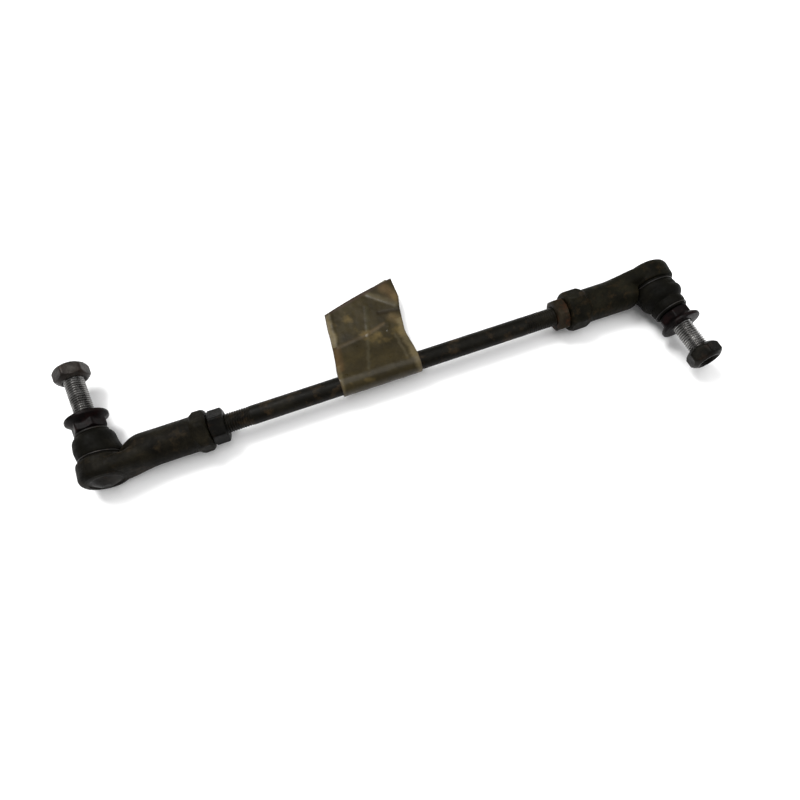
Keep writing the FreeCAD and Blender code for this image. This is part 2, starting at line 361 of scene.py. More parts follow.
class Look:
    """A procedural node material, with short ways of adding its nodes."""

    def __init__(self, name, metallic, specular):
        self.material = bpy.data.materials.new(name)
        self.material.use_nodes = True
        self.nodes = self.material.node_tree.nodes
        self.links = self.material.node_tree.links
        self.shader = self.nodes["Principled BSDF"]
        self.shader.inputs["Metallic"].default_value = metallic
        self.shader.inputs["Specular IOR Level"].default_value = specular
        self.where = self.nodes.new("ShaderNodeTexCoord").outputs["Object"]

    def texture(self, size, detail, rough=0.6, stretch=None):
        source = self.where
        if stretch:
            mapping = self.nodes.new("ShaderNodeMapping")
            mapping.inputs["Scale"].default_value = stretch
            self.links.new(source, mapping.inputs["Vector"])
            source = mapping.outputs["Vector"]
        tex = self.nodes.new("ShaderNodeTexNoise")
        tex.inputs["Scale"].default_value = size
        tex.inputs["Detail"].default_value = detail
        tex.inputs["Roughness"].default_value = rough
        self.links.new(source, tex.inputs["Vector"])
        return tex.outputs["Fac"]

    def ramp(self, source, stops):
        node = self.nodes.new("ShaderNodeValToRGB")
        while len(node.color_ramp.elements) < len(stops):
            node.color_ramp.elements.new(0.5)
        for element, (place, colour) in zip(node.color_ramp.elements, stops):
            element.position = place
            element.color = (*colour, 1)
        self.links.new(source, node.inputs["Fac"])
        return node.outputs["Color"]

    def mix(self, factor, a, b, blend="MIX"):
        """Mixes two colours. Each of the three is a node's output or a plain value."""
        node = self.nodes.new("ShaderNodeMix")
        node.data_type = "RGBA"
        node.blend_type = blend
        for source, socket in ((factor, node.inputs["Factor"]), (a, node.inputs[6]), (b, node.inputs[7])):
            if isinstance(source, float):
                socket.default_value = source
            elif isinstance(source, tuple):
                socket.default_value = (*source, 1)
            else:
                self.links.new(source, socket)
        return node.outputs[2]

    def done(self, colour, rough, height, strength, distance):
        """Connects the colour, the roughness and a bump of this strength and distance."""
        self.links.new(colour, self.shader.inputs["Base Color"])
        self.links.new(rough, self.shader.inputs["Roughness"])
        bumps = self.nodes.new("ShaderNodeBump")
        bumps.inputs["Strength"].default_value = strength
        bumps.inputs["Distance"].default_value = distance
        self.links.new(height, bumps.inputs["Height"])
        self.links.new(bumps.outputs["Normal"], self.shader.inputs["Normal"])
        return self.material


def material(name, roughness, metallic, base, tones, bump, scale, spots, edge=None, specular=0.5,
             streak=None):
    """A metal, rubber, plastic or paper.

    base is the middle colour, tones are (darker, lighter) colours in broad blotches, spots is
    (colour, amount, scale) for rust or dirt, edge is (colour, amount) for worn edges and, on the studs'
    zinc, for a painted highlight on the thread crests, and streak is a stretch (x, y, z) of the fine grain.
    """
    look = Look(name, metallic, specular)
    broad = look.texture(scale, 8.0, 0.62)
    colour = look.ramp(broad, [(0.30, tones[0]), (0.50, base), (0.70, tones[1])])
    grain = look.texture(scale * 14, 4.0, 0.7, streak)
    fleck = look.ramp(grain, [(0.35, grey(0.72)), (0.62, grey(1.2))])
    colour = look.mix(0.8, colour, fleck, "MULTIPLY")
    tint, amount, size = spots
    patches = look.texture(size, 10.0, 0.7)
    mask = look.ramp(patches, [(0.62 - amount * 0.3, grey(0)), (0.78 - amount * 0.3, grey(1))])
    colour = look.mix(mask, colour, tint)
    # worn edges; on the zinc looks the near-white edge colour is a painted highlight on the thread crests,
    # with the darker roots between them as painted shade
    if edge:
        tint, amount = edge
        ridges = look.nodes.new("ShaderNodeNewGeometry").outputs["Pointiness"]
        worn = look.ramp(ridges, [(0.50 + 0.02 / amount, grey(0)), (0.56 + 0.06 / amount, grey(amount))])
        colour = look.mix(worn, colour, tint)
    rough = look.ramp(look.texture(scale * 3, 6.0), [(0.3, grey(max(0.05, roughness - 0.12))),
                                                     (0.7, grey(min(1, roughness + 0.12)))])
    return look.done(colour, rough, look.texture(scale * 6, 8.0, 0.7, streak), bump, 0.00025)


def tape_material():
    """Glossy brown tape over grey-olive paper, with clear margins and amber blotches of glue."""
    look = Look("clear_tape", 0.0, 0.10)
    look.shader.inputs["Coat Weight"].default_value = 0.10
    look.shader.inputs["Coat Roughness"].default_value = 0.22
    # the tone colours carry the label's painted highlights and shade along the folds
    tone = look.nodes.new("ShaderNodeVertexColor")
    tone.layer_name = "tone"
    wear = look.ramp(look.texture(110, 6.0), [(0.3, (0.72, 0.71, 0.68)), (0.7, (1.25, 1.22, 1.15))])
    colour = look.mix(1.0, tone.outputs["Color"], wear, "MULTIPLY")
    glue = look.ramp(look.texture(60, 3.0), [(0.60, grey(0)), (0.74, grey(0.55))])
    colour = look.mix(glue, colour, (0.115, 0.080, 0.028))
    rough = look.ramp(look.texture(90, 4.0), [(0.3, grey(0.24)), (0.7, grey(0.5))])
    return look.done(colour, rough, look.texture(150, 5.0), 0.5, 0.0004)


LOOKS = {
    "forged_steel": dict(roughness=0.6, metallic=0, bump=0.8, scale=90, specular=0.04,
         base=(0.0047, 0.0042, 0.0022), tones=((0.002, 0.0018, 0.001), (0.0102, 0.009, 0.0048)),
         spots=((0.019, 0.0125, 0.0058), 0.3, 130), edge=((0.0236, 0.0203, 0.0119), 0.4)),
    "cover_steel": dict(roughness=0.55, metallic=0, bump=0.5, scale=120, specular=0.1,
         base=(0.0072, 0.0063, 0.0051), tones=((0.0036, 0.0031, 0.0025), (0.0144, 0.0126, 0.0102)),
         spots=((0.0144, 0.0084, 0.0048), 0.3, 200), edge=((0.036, 0.03, 0.024), 0.4)),
    "rod_steel": dict(roughness=0.45, metallic=0, bump=0.6, scale=80, specular=0.06, streak=(0.25, 1, 1),
         base=(0.0036, 0.0031, 0.0019), tones=((0.0017, 0.0014, 0.0009), (0.0076, 0.0065, 0.004)),
         spots=((0.023, 0.015, 0.0075), 0.34, 110), edge=((0.0331, 0.0288, 0.0188), 0.35)),
    "lock_nut_steel": dict(roughness=0.45, metallic=0, bump=0.6, scale=120, specular=0.05,
         base=(0.0021, 0.0019, 0.0013), tones=((0.001, 0.0009, 0.0006), (0.005, 0.0044, 0.0029)),
         spots=((0.0092, 0.005, 0.0025), 0.2, 150), edge=((0.0168, 0.0147, 0.0109), 0.5)),
    "flange_nut_steel": dict(roughness=0.42, metallic=0, bump=0.5, scale=130, specular=0.055,
         base=(0.0029, 0.0021, 0.0021), tones=((0.0015, 0.0011, 0.0012), (0.0063, 0.0044, 0.004)),
         spots=((0.0067, 0.0025, 0.0024), 0.45, 170), edge=((0.0126, 0.0092, 0.0092), 0.4)),
    "end_nut_steel": dict(roughness=0.38, metallic=0.35, bump=0.6, scale=120, specular=0.1,
         base=(0.0177, 0.0151, 0.013), tones=((0.0062, 0.0052, 0.0042), (0.0442, 0.04, 0.0348)),
         spots=((0.0177, 0.0114, 0.0083), 0.45, 150), edge=((0.078, 0.0728, 0.065), 0.5)),
    # the near-white edge colour here is a painted highlight on the thread crests
    "zinc_stud": dict(roughness=0.28, metallic=0.9, bump=0.25, scale=160,
         base=(0.1012, 0.0968, 0.0924), tones=((0.0396, 0.037, 0.0343), (0.264, 0.2596, 0.2508)),
         spots=((0.0264, 0.0229, 0.0194), 0.2, 260), edge=((0.66, 0.66, 0.6512), 0.9)),
    "boot_rubber": dict(roughness=0.62, metallic=0, bump=0.4, scale=110, specular=0.045,
         base=(0.0026, 0.0024, 0.0015), tones=((0.0014, 0.0012, 0.0007), (0.0063, 0.0055, 0.0035)),
         spots=((0.0096, 0.008, 0.0048), 0.1, 220)),
    "ring_wire": dict(roughness=0.45, metallic=0.3, bump=0.3, scale=300, specular=0.3,
         base=(0.012, 0.011, 0.01), tones=((0.006, 0.0055, 0.005), (0.03, 0.028, 0.025)),
         spots=((0.025, 0.014, 0.008), 0.3, 300)),
    "seat_plastic": dict(roughness=0.5, metallic=0, bump=0.15, scale=150,
         base=(0.74, 0.72, 0.66), tones=((0.66, 0.63, 0.55), (0.8, 0.79, 0.74)),
         spots=((0.4, 0.36, 0.28), 0.12, 200)),
    "spring_steel": dict(roughness=0.35, metallic=0.9, bump=0.2, scale=200,
         base=(0.32, 0.32, 0.32), tones=((0.2, 0.2, 0.21), (0.5, 0.5, 0.5)),
         spots=((0.15, 0.12, 0.1), 0.2, 250)),
    # the same metals in other tones at one end of the rod; lock_nut_rust is rustier, and zinc_left_shaded
    # is zinc_stud at 0.705 in every colour, painted shade on the left stud
    "zinc_left_shaded": dict(roughness=0.28, metallic=0.9, bump=0.25, scale=160,
         base=(0.0713, 0.0682, 0.0651), tones=((0.0279, 0.026, 0.0242), (0.186, 0.1829, 0.1767)),
         spots=((0.0186, 0.0161, 0.0136), 0.2, 260), edge=((0.465, 0.465, 0.4588), 0.9)),
    "forged_left": dict(roughness=0.56, metallic=0, bump=0.8, scale=90, specular=0.045,
         base=(0.0044, 0.0037, 0.0022), tones=((0.0018, 0.0015, 0.0009), (0.0101, 0.0084, 0.0048)),
         spots=((0.018, 0.0125, 0.0065), 0.28, 130), edge=((0.0227, 0.0192, 0.0117), 0.4)),
    "end_nut_dark": dict(roughness=0.4, metallic=0.15, bump=0.6, scale=120, specular=0.06,
         base=(0.0032, 0.0029, 0.002), tones=((0.0014, 0.0013, 0.0009), (0.0096, 0.0086, 0.0062)),
         spots=((0.0115, 0.0072, 0.0043), 0.4, 150), edge=((0.0432, 0.0398, 0.0346), 0.5)),
    "lock_nut_rust": dict(roughness=0.48, metallic=0, bump=0.6, scale=120, specular=0.05,
         base=(0.0117, 0.0087, 0.005), tones=((0.0055, 0.0042, 0.0025), (0.0234, 0.0179, 0.0109)),
         spots=((0.0359, 0.014, 0.0062), 0.4, 110), edge=((0.0546, 0.0429, 0.0296), 0.5)),
    "label_paper": dict(roughness=0.8, metallic=0, bump=0.3, scale=120,
         base=(0.1, 0.095, 0.065), tones=((0.07, 0.066, 0.045), (0.14, 0.13, 0.09)),
         spots=((0.12, 0.09, 0.04), 0.2, 90)),
}
MATERIALS = {name: material(name, **look) for name, look in LOOKS.items()}
MATERIALS["clear_tape"] = tape_material()


def paint(obj, look):
    obj.data.materials.clear()
    obj.data.materials.append(MATERIALS[look])


def dress(obj, slot, body, *nodes, look=None):
    """Gives a piece its material (its look, or else the slot's), its body, and hides the CAD nodes that it
    stands for.
    """
    paint(obj, look or slot)
    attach(obj, body)
    if nodes:
        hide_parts(*nodes)
    return obj


# --------------------------------------------------------------------------- rod
def build_rod():
    matrix = Matrix.Translation((0, 0, AXIS_Z * MM)) @ Matrix.Rotation(pi / 2, 4, "Y") @ Matrix.Scale(MM, 4)
    low, high = along("tie_rod", matrix)
    thread = 62.0
    mid = high - thread
    left = threaded_mesh("rod_left", low, -mid, THREAD_R, 1.0, 0.0, hand=-1, plain=(-mid - 3, UNBOUNDED),
                         depth=0.4)
    right = threaded_mesh("rod_right", mid, high, THREAD_R, 0.0, 1.0, hand=1, plain=(-UNBOUNDED, mid + 3),
                          depth=0.4)
    joined = bmesh.new()
    joined.from_mesh(left)
    joined.from_mesh(right)
    # drop the inner caps and bridge them with the plain bar between the threads
    for at in (-mid, mid):
        caps = [f for f in joined.faces if all(abs(v.co.z - at) < 1e-3 for v in f.verts)]
        bmesh.ops.delete(joined, geom=caps, context="FACES")
    rims = [e for e in joined.edges if e.is_boundary]
    bmesh.ops.bridge_loops(joined, edges=rims)
    stretch = [e for e in joined.edges if e.calc_length() > 20]
    bmesh.ops.subdivide_edges(joined, edges=stretch, cuts=60, use_grid_fill=True)
    for v in joined.verts:
        if abs(v.co.z) < mid - 0.1:
            r = THREAD_R - 0.01 - 0.05 * (0.5 + 0.5 * noise.noise(v.co * 0.25))
            v.co.xy = v.co.xy.normalized() * r
    bmesh.ops.recalc_face_normals(joined, faces=joined.faces)
    mesh = bpy.data.meshes.new("tie_rod_bar")
    joined.to_mesh(mesh)
    joined.free()
    rod = add_object("tie_rod_bar", mesh, matrix, smooth_angle=50)
    dress(rod, "rod_steel", "rod", "tie_rod")


# --------------------------------------------------------------------------- sockets
EYE_R = 15.0
EYE_TOP = 5.6
EYE_LOW = -7.5
SHANK_R = 11.0
COLLAR = {"left": (55.0, 64.7), "right": (48.0, 62.0)}
SHOULDER = {"left": (15.0, 24.5), "right": (12.0, 19.5)}


def build_socket(side):
    start, full = SHOULDER[side]
    collar_start, collar_end = COLLAR[side]

    def y_up(mesh):
        mesh.transform(Matrix.Rotation(-pi / 2, 4, "X"))
        return mesh

    def x_along(mesh):
        mesh.transform(Matrix.Translation((0, BALL_OFFSET, 0)) @ Matrix.Rotation(pi / 2, 4, "Y"))
        return mesh

    r = EYE_R + 0.02
    eye = [(0.01, EYE_LOW), (10.9, EYE_LOW), (12.7, EYE_LOW + 0.4), (14.2, EYE_LOW + 1.7),
           (14.85, EYE_LOW + 3.2),
           (r, EYE_LOW + 4.4), (r, EYE_TOP - 1.2), (r - 0.35, EYE_TOP - 0.35), (r - 1.2, EYE_TOP),
           (0.01, EYE_TOP)]
    parts = [y_up(lathe("eye", eye, 96, closed_ends=(True, True)))]
    web = []
    for k in range(13):
        t = k / 12
        x = 1.0 + 33.0 * t
        ease = t * t * (3 - 2 * t)
        half_w = 14.3 + (SHANK_R - 0.1 - 14.3) * ease
        low = (EYE_LOW + 0.3) + (BALL_OFFSET - SHANK_R + 0.1 - (EYE_LOW + 0.3)) * ease
        rise = max(0.0, (x - 14.9) / 19.1) ** 1.1
        high = (EYE_TOP - 0.4) + (BALL_OFFSET + SHANK_R - 0.1 - (EYE_TOP - 0.4)) * rise
        mid, half_h = (low + high) / 2, (high - low) / 2
        power = 3.4 - 1.4 * ease
        ring = []
        for j in range(48):
            a = 2 * pi * j / 48
            ca, sa = cos(a), sin(a)
            n = (abs(ca) ** power + abs(sa) ** power) ** (-1 / power)
            ring.append((x, mid + half_h * sa * n, half_w * ca * n))
        web.append(ring)
    parts.append(grid_mesh("web", web, closed_ends=(True, True)))
    shank = [(0.01, 9.0), (4.2, 9.2), (7.4, start - 0.6)]
    for k in range(1, 9):
        t = k / 8
        shank.append((7.4 + (SHANK_R - 7.4) * sin(t * pi / 2) ** 0.95,
                      start - 0.6 + (full - start + 0.6) * t))
    shank += [(SHANK_R, collar_end - 4), (0.01, collar_end - 4)]
    shank = lathe("shank", shank, 96, closed_ends=(True, True))
    # clear the round seat for the boot
    shank = x_along(shank)
    for v in shank.vertices:
        away = hypot(v.co.x, v.co.z)
        if v.co.y > EYE_TOP - 0.3 and away < 14.7 and v.co.x < 15.5:
            v.co.y = EYE_TOP - 0.3
    parts.append(shank)
    rings = []
    for k in range(41):
        t = k / 40
        h = collar_start - 0.6 + (collar_end - collar_start + 0.6) * t
        cap = min(COLLAR_CORNER_R, SHANK_R - 0.2 + (h - collar_start + 0.6) * 0.72)
        out = collar_end - h
        if out < 3.2:
            cap = min(cap, 10.5 + 2.6 * sqrt(max(0.0, 1 - ((3.2 - out) / 3.2) ** 2)))
        ring = []
        for j in range(96):
            a = 2 * pi * j / 96
            r = min(cap, hex_radius(a, COLLAR_FLATS, 0.9))
            ring.append((r * cos(a), r * sin(a), h))
        rings.append(ring)
    parts.append(x_along(grid_mesh("collar", rings, closed_ends=(True, True))))
    skin = remeshed("skin", parts, 0.34, smooth=3)
    roughen(skin, 0.16, 0.16, 1 if side == "left" else 2)
    obj = linked(side + "_housing", skin)
    # real bores: the ball's chamber, the seat for the boot and the rod's hole
    chamber = [(0.01, EYE_LOW - 1), (9.7, EYE_LOW - 1), (9.7, -7.1), (10.45, -7.1), (10.45, -5.8),
               (9.6, -5.8), (9.6, 3.4),
               (7.35, 3.4), (7.35, 5.2), (8.7, 6.8), (8.7, 9), (0.01, 9)]
    bore = [(0.01, 22.0), (THREAD_R - 0.02, 25.0), (THREAD_R - 0.02, collar_end - 1.2),
            (THREAD_R + 1.5, collar_end + 0.5),
            (0.01, collar_end + 0.5)]
    for profile, place in ((chamber, y_up), (bore, x_along)):
        cutter = linked("cutter", place(lathe("cutter", profile, 96, closed_ends=(True, True))))
        cut = obj.modifiers.new("cut", "BOOLEAN")
        cut.operation = "DIFFERENCE"
        cut.solver = "EXACT"
        cut.object = cutter
        done = bpy.data.meshes.new_from_object(obj.evaluated_get(bpy.context.evaluated_depsgraph_get()))
        obj.modifiers.clear()
        obj.data = done
        bpy.data.objects.remove(cutter)
    obj.data.transform(end_matrix(side))
    smoothed(obj.data, 40)
    dress(obj, "forged_steel", side + "_end", side + "_socket",
          look="forged_left" if side == "left" else None)
    lip = [(9.0, EYE_TOP - 0.6), (11.38, EYE_TOP - 0.6), (11.38, EYE_TOP + 1.8), (11.2, EYE_TOP + 2.0),
           (9.2, EYE_TOP + 2.0),
           (9.0, EYE_TOP + 1.8)]
    ring = lathe("lip", lip, 96, loop=True)
    ring.transform(Matrix.Rotation(-pi / 2, 4, "X"))
    ring = add_object(side + "_boot_spigot", ring, end_matrix(side))
    dress(ring, "forged_steel", side + "_end", side + "_socket")


def build_cover(side):
    """The pressed disc under the ball: a dome, a dimple and the edge that is rolled over it."""
    profile = [(0.01, -10.1), (1.6, -10.05), (2.4, -10.28), (4.2, -9.45), (6.0, -8.42), (7.6, -7.4),
               (8.6, -6.95), (9.4, -7.0),
               (10.3, -7.05), (10.35, -6.6), (10.3, -5.95), (8.0, -5.9), (6.0, -7.2), (3.0, -8.8),
               (0.01, -9.3)]
    mesh = lathe("cover", smooth_profile(profile, 0.3, 1), 96)
    mesh.transform(Matrix.Rotation(-pi / 2, 4, "X"))
    cover = add_object(side + "_cover_disc", mesh, end_matrix(side))
    dress(cover, "cover_steel", side + "_end", side + "_cover_plate")


# --------------------------------------------------------------------------- studs and nuts
def build_stud(side):
    matrix = stud_matrix(side)
    tip = along(side + "_ball_stud", matrix)[1]
    shaft = threaded_mesh("shaft", 13.2, tip, THREAD_R, 0.0, 1.2, hand=1, plain=(-UNBOUNDED, 26.5))
    ball = [(8.0 * sin(radians(d)), -8.0 * cos(radians(d))) for d in [0.1] + list(range(4, 141, 4))]
    neck = ball + [(4.9, 6.4), (4.62, 7.6), (4.6, 10.8), (5.2, 11.9), (THREAD_R - 0.02, 13.3)]
    lower = lathe("ball", neck, 64, closed_ends=(True, False))
    joined = bmesh.new()
    joined.from_mesh(shaft)
    caps = [f for f in joined.faces if all(abs(v.co.z - 13.2) < 1e-3 for v in f.verts)]
    bmesh.ops.delete(joined, geom=caps, context="FACES")
    joined.from_mesh(lower)
    rims = [e for e in joined.edges if e.is_boundary]
    bmesh.ops.bridge_loops(joined, edges=rims)
    bmesh.ops.recalc_face_normals(joined, faces=joined.faces)
    mesh = bpy.data.meshes.new("stud")
    joined.to_mesh(mesh)
    joined.free()
    stud = add_object(side + "_stud_thread", mesh, matrix, smooth_angle=50)
    # the left stud takes zinc_stud darkened throughout, as painted shade
    dress(stud, "zinc_stud", side + "_stud", side + "_ball_stud",
          look="zinc_left_shaded" if side == "left" else None)


def corner_angle(node, matrix, beyond):
    """The angle about Z of the CAD hexagon's corners, which are its furthest points within a radius."""
    to_local = matrix.inverted()
    points = [to_local @ v.co for v in frame["nodes"][node].data.vertices]
    points = [p for p in points if hypot(p.x, p.y) < beyond]
    corner = max(points, key=lambda p: hypot(p.x, p.y))
    return atan2(corner.y, corner.x)


def build_nut(side, node, piece, matrix, slot, flats, look=None, within=UNBOUNDED, **shape):
    """A nut in the place of its CAD node, along a frame's Z. within is passed to corner_angle."""
    low, high = along(side + node, matrix)
    at = corner_angle(side + node, matrix, within)
    mesh = hex_nut_mesh(piece, high - low, flats, at, **shape)
    nut = add_object(side + piece, mesh, matrix @ Matrix.Translation((0, 0, low)), 28)
    dress(nut, slot, side + node + "_body", side + node, look=look)


def build_nuts(side):
    left = side == "left"
    stud = stud_matrix(side)
    build_nut(side, "_end_nut", "_stud_end_nut", stud, "end_nut_steel", HEX_FLATS,
              look=None if left else "end_nut_dark", worn=3.4)
    build_nut(side, "_flange_nut", "_collar_nut", stud, "flange_nut_steel", FLANGE_FLATS,
              within=WITHIN_FLANGE, flange=FLANGE)
    build_nut(side, "_lock_nut", "_rod_lock_nut", rod_matrix(side, 0), "lock_nut_steel", HEX_FLATS,
              look=None if left else "lock_nut_rust")


# --------------------------------------------------------------------------- boots
BOOT_PROFILES = {
    # the skirt on the socket, in the end's frame, from the base up to the meeting line
    "left": [(11.5, 5.68), (13.0, 5.66), (13.35, 6.1), (13.1, 6.6), (12.56, 6.9), (12.54, 7.5), (12.9, 7.9),
             (13.35, 8.4),
             (13.65, 9.6), (13.55, 11.2), (13.3, 12.6)],
    "right": [(11.5, 5.68), (13.0, 5.66), (13.35, 6.1), (13.1, 6.6), (12.56, 6.9), (12.54, 7.5),
              (12.9, 7.9), (13.5, 8.6),
              (13.75, 10.0), (13.6, 11.4), (13.3, 12.6)],
}
BOOT_TOPS = {
    # from the meeting line up to the neck, on the stud's axis
    "left": [(13.3, 12.6), (13.15, 14.0), (12.95, 16.0), (12.7, 18.2), (12.35, 20.2), (11.5, 21.8),
             (10.3, 22.7), (9.75, 23.2),
             (9.3, 23.7), (9.02, 24.0), (9.2, 24.4), (9.6, 24.65), (9.4, 24.92), (8.4, 24.94),
             (6.15, 24.9)],
    "right": [(13.3, 12.6), (13.5, 13.8), (13.7, 15.2), (13.5, 16.8), (12.9, 18.3), (11.8, 19.6),
              (10.9, 20.4), (10.75, 21.0),
              (11.05, 22.2), (11.1, 23.6), (10.9, 25.0), (10.45, 26.1), (9.85, 26.4), (9.82, 26.9),
              (10.35, 27.2), (10.2, 27.75),
              (9.4, 27.98), (6.15, 27.95)],
}


def build_boot(side):
    """Two lengths of rubber that meet half way up, leaned towards the stud's axis from just above the base.
    """
    end = end_matrix(side)
    stud = stud_matrix(side)
    y_up = Matrix.Rotation(-pi / 2, 4, "X")
    to_end = end.inverted() @ stud
    count = 96

    def ring_point(r, h, j, upper):
        a = 2 * pi * j / count
        base = y_up @ Vector((r * cos(a), r * sin(a), h))
        lean_axis = to_end.to_3x3() @ Vector((0, 0, 1))
        lean_axis.normalize()
        turn = Vector((0, 1, 0)).rotation_difference(lean_axis).to_matrix()
        leaned = turn @ base
        return base.lerp(leaned, upper)

    def skin(points, share):
        rings = []
        for r, h in points:
            upper = share(h)
            rings.append([ring_point(r + wrinkle(r, h, 2 * pi * j / count), h, j,
                                     upper) for j in range(count)])
        return rings

    def wrinkle(r, h, a):
        if h < 8.5 or r < 10:
            return 0.0
        soft = noise.noise((cos(a) * 1.4, sin(a) * 1.4, h * 0.12 + (3 if side == "left" else 9)))
        return -0.22 * (0.5 + 0.5 * soft)

    def lean_share(h):
        t = min(1.0, max(0.0, (h - 7.8) / 8.0))
        return t * t * (3 - 2 * t)

    outer_low = smooth_profile(BOOT_PROFILES[side], 0.35, 1)
    outer_high = smooth_profile(BOOT_TOPS[side], 0.35, 1)
    inner_low = [(12.0, 12.5), (12.1, 10.5), (11.9, 8.9), (11.5, 8.2), (11.5, 5.68)]
    top_r, top_h = outer_high[-1]
    inner_high = [(top_r, top_h), (6.2, top_h - 2.6), (9.0, top_h - 4.4), (9.4, 19.2), (11.4, 17.0),
                  (12.0, 12.5)]
    meshes = {}
    low = skin(outer_low, lean_share) + skin(smooth_profile(inner_low, 0.6, 0), lean_share)
    meshes["skirt"] = grid_mesh("boot_skirt", low, loop=True)
    high = skin(outer_high, lean_share) + skin(smooth_profile(inner_high, 0.6, 0), lean_share)
    meshes["neck"] = grid_mesh("boot_neck", high, loop=True)
    stud_axis = Vector(joints[side + "_stud_spin"]["axis"]).normalized()
    up = end.to_3x3() @ Vector((0, 1, 0))
    up.normalize()
    for part, (a, b, axis, lo, hi) in {
        "skirt": ("_end", "_boot_body", up, 8.0, 12.4),
        "neck": ("_boot_body", "_boot_neck", stud_axis, 12.8, 22.0),
    }.items():
        obj = add_object(side + "_boot_" + part, meshes[part], end, 60)
        paint(obj, "boot_rubber")
        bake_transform(obj)
        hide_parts(side + "_boot")


def build_rings(side):
    """The wire rings: two turns of thin wire with cut ends."""
    end = end_matrix(side)
    stud = stud_matrix(side)
    places = (("base", end @ Matrix.Rotation(-pi / 2, 4, "X"), "_end", "_boot_base_ring"),
              ("neck", stud, "_boot_neck", "_boot_neck_ring"))
    for name, frame_matrix, body, node in places:
        low, high = along(side + node, frame_matrix)
        to_local = frame_matrix.inverted()
        points = [to_local @ v.co for v in frame["nodes"][side + node].data.vertices]
        reach = max(hypot(p.x, p.y) for p in points)
        wire = (high - low) / 4
        mid = (high + low) / 2
        turns, steps = 1.92, 150
        rings = []
        for i in range(steps + 1):
            t = i / steps
            a = 2 * pi * turns * t
            height = mid - wire * 0.98 + 2 * wire * 0.98 * t
            centre = Vector(((reach - wire) * cos(a), (reach - wire) * sin(a), height))
            out = Vector((cos(a), sin(a), 0))
            around = [2 * pi * k / 12 for k in range(12)]
            rings.append([centre + (out * cos(b) + Vector((0, 0, 1)) * sin(b)) * wire for b in around])
        mesh = grid_mesh("wire", rings, closed_ends=(True, True))
        ring = add_object(side + "_" + name + "_wire", mesh, frame_matrix, 40)
        dress(ring, "ring_wire", side + body, side + node)


def dress_internals(side):
    for node, slot in (("upper_seat", "seat_plastic"), ("lower_seat", "seat_plastic"),
                       ("preload_ring", "spring_steel")):
        paint(frame["nodes"][side + "_" + node], slot)


# --------------------------------------------------------------------------- label
LABEL_WRAP = (-33.3, 18.0)              # mm along the rod
LABEL_SLOPE = radians(4.0)              # how far the flap droops
# the flap's outline, across at each distance from the rod: (away, left x, right x)
FLAP_EDGES = [(0, -33.2, 17.9), (8, -32.6, 18.0), (16, -31.7, 17.6), (23.2, -30.8, 17.2),
              (34.6, -29.6, 19.0), (41.4, -29.2, 20.0),
              (49.6, -28.2, 22.2), (52.9, -27.8, 22.3), (65.4, -27.2, 22.2)]


def flap_span(away):
    for (a0, l0, r0), (a1, l1, r1) in zip(FLAP_EDGES, FLAP_EDGES[1:]):
        if away <= a1:
            t = (away - a0) / (a1 - a0)
            return l0 + (l1 - l0) * t, r0 + (r1 - r0) * t
    return FLAP_EDGES[-1][1:]


def crease(x, y, ax, ay, bx, by, width):
    """1 on the line from a to b, falling smoothly to 0 over its width."""
    line = Vector((bx - ax, by - ay))
    t = min(1.0, max(0.0, Vector((x - ax, y - ay)).dot(line) / line.length_squared))
    away = min(1.0, hypot(x - ax - line.x * t, y - ay - line.y * t) / width)
    return (1 - away * away) ** 2


# folds of the flap: (from x, from away, to x, to away, width, height) in mm
FOLDS = [(-0.5, 50, -5.9, 29, 2.0, 0.14), (-5.9, 29, -13, 6, 2.0, 0.14), (-26, 26.5, -5.7, 29.5, 1.8, 0.16),
         (-5.7, 29.5, 9, 33.5, 1.8, 0.16), (3.5, 58, 18, 44.5, 2.0, 0.24), (6, 42, 19.5, 40, 2.2, -0.20),
         (11.5, 23, 10.8, 5, 1.6, 0.14), (-24, 52, -27.5, 20, 1.8, 0.12), (6.8, 27.6, 9.0, 30.2, 0.9, 0.34)]


def flap_height(x, away):
    """How far the tape's upper face stands off its even surface, in mm."""
    height = 0.09 * noise.noise((x * 0.09, away * 0.07, 2.0)) + 0.06 * noise.noise((x * 0.3, away * 0.25,
                                                                                    5.0))
    for ax, ay, bx, by, width, rise in FOLDS:
        height += rise * crease(x, away, ax, ay, bx, by, width)
    return height


# stains, glue and painted light along the folds: (from x, from away, to x, to away, width, colour,
# strength); the pale bands that follow raised folds are painted highlights, and the dark band in the sunken
# fold is painted shade
STAINS_AND_FOLD_LIGHT = [(3.5, 58.5, 18, 45.0, 3.4, (0.075, 0.064, 0.040), 0.7), (15, 60, 19.5, 50, 5.5,
                                                                   (0.075, 0.050, 0.024), 0.75),
          (6, 41.8, 20, 39.6, 2.4, (0.014, 0.010, 0.005), 0.8), (13, 36, 19, 31, 5.0, (0.080, 0.057, 0.026),
                                                                 0.7),
          (-26, 26.5, -6, 29.5, 2.4, (0.060, 0.045, 0.026), 0.6), (-6, 29.5, 6, 33, 2.0,
                                                                   (0.070, 0.050, 0.028), 0.6),
          (-5.9, 29, -14, 2, 1.6, (0.050, 0.045, 0.028), 0.45), (0, 49, -5.5, 31, 2.2,
                                                                 (0.040, 0.036, 0.020), 0.5),
          (-28.5, 24, -30.5, 9, 4.2, (0.062, 0.038, 0.016), 0.8), (10.5, 23, 11.5, 2, 1.8,
                                                                   (0.060, 0.050, 0.030), 0.5)]


